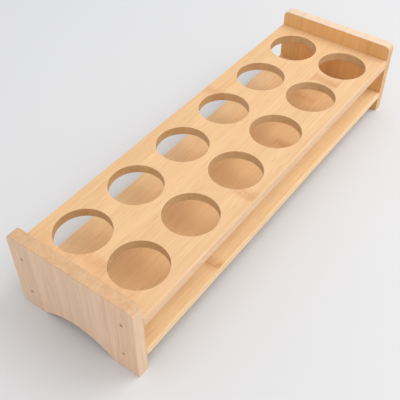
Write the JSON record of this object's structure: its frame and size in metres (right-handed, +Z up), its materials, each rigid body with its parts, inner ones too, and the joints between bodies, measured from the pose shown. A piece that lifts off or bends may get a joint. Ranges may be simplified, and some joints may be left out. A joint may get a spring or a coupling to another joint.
{
  "type": "egg holder rack",
  "caption": "Bamboo kitchen egg rack: a top board with rows of round egg holes over a plain lower shelf, nailed between end panels with arched feet.",
  "frame": {"origin": "middle of the footprint, on the surface that the rack stands on", "axes": "+X along the rack, -Y towards its front, +Z up"},
  "size_m": [0.347, 0.1044, 0.0673],
  "materials": {
    "egg_board_bamboo": "sanded laminated bamboo with a thin satin clear coat, grain along the board",
    "shelf_bamboo": "sanded laminated bamboo with a thin satin clear coat, grain along the board",
    "end_panel_bamboo": "sanded laminated bamboo with a thin satin clear coat, grain upright",
    "nail_steel": "dull steel wire"
  },
  "bodies": {
    "root": {"egg_board": "egg_board_bamboo", "lower_shelf": "shelf_bamboo", "left_end_panel": "end_panel_bamboo", "right_end_panel": "end_panel_bamboo", "left_egg_board_nail_front": "nail_steel", "left_egg_board_nail_back": "nail_steel", "left_shelf_nail_front": "nail_steel", "left_shelf_nail_back": "nail_steel", "right_egg_board_nail_front": "nail_steel", "right_egg_board_nail_back": "nail_steel", "right_shelf_nail_front": "nail_steel", "right_shelf_nail_back": "nail_steel"}
  },
  "joints": []
}
